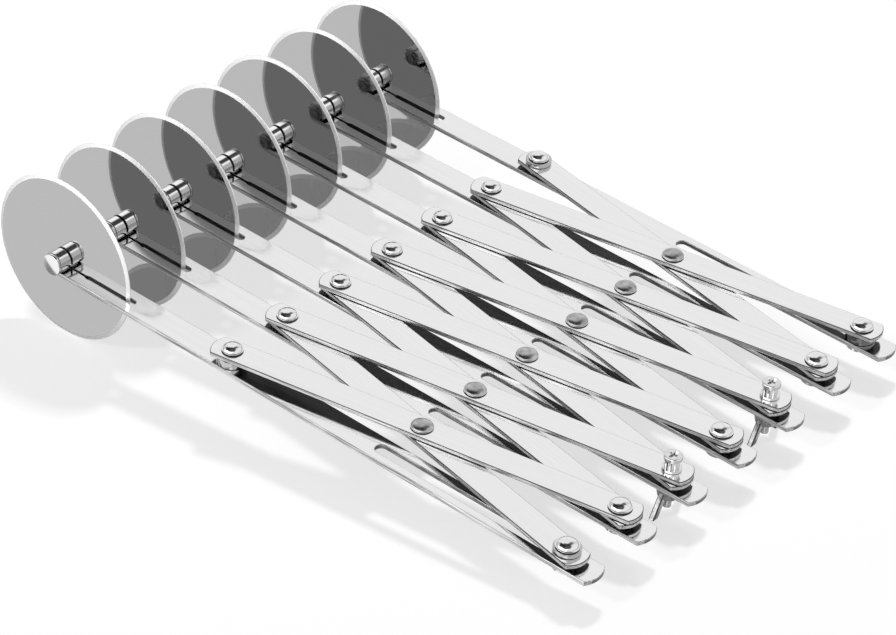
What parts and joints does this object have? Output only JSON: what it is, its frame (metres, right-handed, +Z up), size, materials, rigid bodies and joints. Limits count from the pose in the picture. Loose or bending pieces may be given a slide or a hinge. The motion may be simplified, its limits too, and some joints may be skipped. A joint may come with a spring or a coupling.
{
  "type": "multi-wheel pastry cutter",
  "caption": "Expanding pastry cutter in stainless steel: round cutting wheels in forked parallel bars, spread by a riveted lazy-tongs linkage and locked with wing nuts.",
  "frame": {"origin": "middle of the cutter's footprint, on the surface that its wheels and wing nuts stand on", "axes": "+Y from the handle end to the wheels, +Z up, X along the wheel axles"},
  "size_m": [0.1554, 0.233, 0.0549],
  "materials": {
    "wheel_steel": "mirror polished stainless steel disc with a ground edge",
    "bar_steel": "satin rolled stainless strip with sheared edges",
    "link_steel": "satin rolled stainless strip with sheared edges",
    "rivet_steel": "bright domed rivet",
    "cross_rivet_steel": "tumbled low dome",
    "axle_steel": "bright turned pin",
    "washer_steel": "bright turned ring",
    "screw_steel": "bright machine screw",
    "nut_steel": "tumbled pressed nut"
  },
  "bodies": {
    "bar_1": {"wheel_bar_1": "bar_steel", "wheel_axle_1": "axle_steel", "front_rivet_1": "rivet_steel", "front_spacer_1": "washer_steel"},
    "bar_2": {"wheel_bar_2": "bar_steel", "wheel_axle_2": "axle_steel", "front_rivet_2": "rivet_steel"},
    "bar_3": {"wheel_bar_3": "bar_steel", "wheel_axle_3": "axle_steel", "front_rivet_3": "rivet_steel"},
    "bar_4": {"wheel_bar_4": "bar_steel", "wheel_axle_4": "axle_steel", "front_rivet_4": "rivet_steel"},
    "bar_5": {"wheel_bar_5": "bar_steel", "wheel_axle_5": "axle_steel", "front_rivet_5": "rivet_steel"},
    "bar_6": {"wheel_bar_6": "bar_steel", "wheel_axle_6": "axle_steel", "front_rivet_6": "rivet_steel"},
    "bar_7": {"wheel_bar_7": "bar_steel", "wheel_axle_7": "axle_steel", "front_rivet_7": "rivet_steel", "front_washer_7": "washer_steel"},
    "upper_1": {"upper_link_1": "link_steel", "cross_rivet_1": "cross_rivet_steel", "rear_rivet_2": "rivet_steel"},
    "lower_1": {"lower_link_1": "link_steel", "rear_rivet_1": "rivet_steel", "rear_washer_1": "washer_steel"},
    "upper_2": {"upper_link_2": "link_steel", "cross_rivet_2": "cross_rivet_steel", "clamp_screw_3": "screw_steel"},
    "lower_2": {"lower_link_2": "link_steel"},
    "upper_3": {"upper_link_3": "link_steel", "cross_rivet_3": "cross_rivet_steel", "rear_rivet_4": "rivet_steel"},
    "lower_3": {"lower_link_3": "link_steel"},
    "upper_4": {"upper_link_4": "link_steel", "cross_rivet_4": "cross_rivet_steel", "clamp_screw_5": "screw_steel"},
    "lower_4": {"lower_link_4": "link_steel"},
    "upper_5": {"upper_link_5": "link_steel", "cross_rivet_5": "cross_rivet_steel", "rear_rivet_6": "rivet_steel"},
    "lower_5": {"lower_link_5": "link_steel"},
    "upper_6": {"upper_link_6": "link_steel", "cross_rivet_6": "cross_rivet_steel", "rear_rivet_7": "rivet_steel", "rear_spacer_7": "washer_steel"},
    "lower_6": {"lower_link_6": "link_steel"},
    "wheel_1": {"cutting_wheel_1": "wheel_steel"},
    "wheel_2": {"cutting_wheel_2": "wheel_steel"},
    "wheel_3": {"cutting_wheel_3": "wheel_steel"},
    "wheel_4": {"cutting_wheel_4": "wheel_steel"},
    "wheel_5": {"cutting_wheel_5": "wheel_steel"},
    "wheel_6": {"cutting_wheel_6": "wheel_steel"},
    "wheel_7": {"cutting_wheel_7": "wheel_steel"},
    "nut_3": {"wing_nut_3": "nut_steel"},
    "nut_5": {"wing_nut_5": "nut_steel"}
  },
  "joints": [
    {"name": "fold", "type": "hinge", "parent": "bar_4", "child": "upper_4", "pos_m": [0.00015, 0.02044, 0.02035], "axis": [0, -0.074, 0.9973], "range_deg": [-4.93, 52.09]},
    {"name": "cross_4_pivot", "type": "hinge", "parent": "upper_4", "child": "lower_4", "pos_m": [0.01215, -0.04225, 0.01569], "axis": [0, -0.074, 0.9973], "range_deg": [-104.18, 9.86]},
    {"name": "bar_5_pivot", "type": "hinge", "parent": "lower_4", "child": "bar_5", "pos_m": [0.02415, 0.02044, 0.02035], "axis": [0, -0.074, 0.9973], "range_deg": [-4.93, 52.09]},
    {"name": "upper_5_pivot", "type": "hinge", "parent": "bar_5", "child": "upper_5", "pos_m": [0.02415, 0.02044, 0.02035], "axis": [0, -0.074, 0.9973], "range_deg": [-4.93, 52.09]},
    {"name": "cross_5_pivot", "type": "hinge", "parent": "upper_5", "child": "lower_5", "pos_m": [0.03615, -0.04225, 0.01569], "axis": [0, -0.074, 0.9973], "range_deg": [-104.18, 9.86]},
    {"name": "bar_6_pivot", "type": "hinge", "parent": "lower_5", "child": "bar_6", "pos_m": [0.04815, 0.02044, 0.02035], "axis": [0, -0.074, 0.9973], "range_deg": [-4.93, 52.09]},
    {"name": "upper_6_pivot", "type": "hinge", "parent": "bar_6", "child": "upper_6", "pos_m": [0.04815, 0.02044, 0.02035], "axis": [0, -0.074, 0.9973], "range_deg": [-4.93, 52.09]},
    {"name": "cross_6_pivot", "type": "hinge", "parent": "upper_6", "child": "lower_6", "pos_m": [0.06015, -0.04225, 0.01569], "axis": [0, -0.074, 0.9973], "range_deg": [-104.18, 9.86]},
    {"name": "bar_7_pivot", "type": "hinge", "parent": "lower_6", "child": "bar_7", "pos_m": [0.07215, 0.02044, 0.02035], "axis": [0, -0.074, 0.9973], "range_deg": [-4.93, 52.09]},
    {"name": "lower_3_pivot", "type": "hinge", "parent": "bar_4", "child": "lower_3", "pos_m": [0.00015, 0.02044, 0.02035], "axis": [0, -0.074, 0.9973], "range_deg": [-52.09, 4.93]},
    {"name": "cross_3_pivot", "type": "hinge", "parent": "lower_3", "child": "upper_3", "pos_m": [-0.01185, -0.04225, 0.01569], "axis": [0, -0.074, 0.9973], "range_deg": [-9.86, 104.18]},
    {"name": "bar_3_pivot", "type": "hinge", "parent": "upper_3", "child": "bar_3", "pos_m": [-0.02385, 0.02044, 0.02035], "axis": [0, -0.074, 0.9973], "range_deg": [-52.09, 4.93]},
    {"name": "lower_2_pivot", "type": "hinge", "parent": "bar_3", "child": "lower_2", "pos_m": [-0.02385, 0.02044, 0.02035], "axis": [0, -0.074, 0.9973], "range_deg": [-52.09, 4.93]},
    {"name": "cross_2_pivot", "type": "hinge", "parent": "lower_2", "child": "upper_2", "pos_m": [-0.03585, -0.04225, 0.01569], "axis": [0, -0.074, 0.9973], "range_deg": [-9.86, 104.18]},
    {"name": "bar_2_pivot", "type": "hinge", "parent": "upper_2", "child": "bar_2", "pos_m": [-0.04785, 0.02044, 0.02035], "axis": [0, -0.074, 0.9973], "range_deg": [-52.09, 4.93]},
    {"name": "lower_1_pivot", "type": "hinge", "parent": "bar_2", "child": "lower_1", "pos_m": [-0.04785, 0.02044, 0.02035], "axis": [0, -0.074, 0.9973], "range_deg": [-52.09, 4.93]},
    {"name": "cross_1_pivot", "type": "hinge", "parent": "lower_1", "child": "upper_1", "pos_m": [-0.05985, -0.04225, 0.01569], "axis": [0, -0.074, 0.9973], "range_deg": [-9.86, 104.18]},
    {"name": "bar_1_pivot", "type": "hinge", "parent": "upper_1", "child": "bar_1", "pos_m": [-0.07185, 0.02044, 0.02035], "axis": [0, -0.074, 0.9973], "range_deg": [-52.09, 4.93]},
    {"name": "wheel_1_spin", "type": "hinge", "parent": "bar_1", "child": "wheel_1", "pos_m": [-0.07185, 0.0891, 0.0275], "axis": [1, 0, 0], "continuous": true},
    {"name": "wheel_2_spin", "type": "hinge", "parent": "bar_2", "child": "wheel_2", "pos_m": [-0.04785, 0.0891, 0.0275], "axis": [1, 0, 0], "continuous": true},
    {"name": "wheel_3_spin", "type": "hinge", "parent": "bar_3", "child": "wheel_3", "pos_m": [-0.02385, 0.0891, 0.0275], "axis": [1, 0, 0], "continuous": true},
    {"name": "wheel_4_spin", "type": "hinge", "parent": "bar_4", "child": "wheel_4", "pos_m": [0.00015, 0.0891, 0.0275], "axis": [1, 0, 0], "continuous": true},
    {"name": "wheel_5_spin", "type": "hinge", "parent": "bar_5", "child": "wheel_5", "pos_m": [0.02415, 0.0891, 0.0275], "axis": [1, 0, 0], "continuous": true},
    {"name": "wheel_6_spin", "type": "hinge", "parent": "bar_6", "child": "wheel_6", "pos_m": [0.04815, 0.0891, 0.0275], "axis": [1, 0, 0], "continuous": true},
    {"name": "wheel_7_spin", "type": "hinge", "parent": "bar_7", "child": "wheel_7", "pos_m": [0.07215, 0.0891, 0.0275], "axis": [1, 0, 0], "continuous": true},
    {"name": "wing_nut_3_turn", "type": "hinge", "parent": "upper_2", "child": "nut_3", "pos_m": [-0.02385, -0.10483, 0.00944], "axis": [0, -0.074, 0.9973], "continuous": true},
    {"name": "wing_nut_5_turn", "type": "hinge", "parent": "upper_4", "child": "nut_5", "pos_m": [0.02415, -0.10483, 0.00944], "axis": [0, -0.074, 0.9973], "continuous": true}
  ],
  "couplings": [
    {"joint": "cross_4_pivot", "follows": "fold", "ratio": -2},
    {"joint": "bar_5_pivot", "follows": "fold", "ratio": 1},
    {"joint": "upper_5_pivot", "follows": "fold", "ratio": 1},
    {"joint": "cross_5_pivot", "follows": "fold", "ratio": -2},
    {"joint": "bar_6_pivot", "follows": "fold", "ratio": 1},
    {"joint": "upper_6_pivot", "follows": "fold", "ratio": 1},
    {"joint": "cross_6_pivot", "follows": "fold", "ratio": -2},
    {"joint": "bar_7_pivot", "follows": "fold", "ratio": 1},
    {"joint": "lower_3_pivot", "follows": "fold", "ratio": -1},
    {"joint": "cross_3_pivot", "follows": "fold", "ratio": 2},
    {"joint": "bar_3_pivot", "follows": "fold", "ratio": -1},
    {"joint": "lower_2_pivot", "follows": "fold", "ratio": -1},
    {"joint": "cross_2_pivot", "follows": "fold", "ratio": 2},
    {"joint": "bar_2_pivot", "follows": "fold", "ratio": -1},
    {"joint": "lower_1_pivot", "follows": "fold", "ratio": -1},
    {"joint": "cross_1_pivot", "follows": "fold", "ratio": 2},
    {"joint": "bar_1_pivot", "follows": "fold", "ratio": -1}
  ]
}
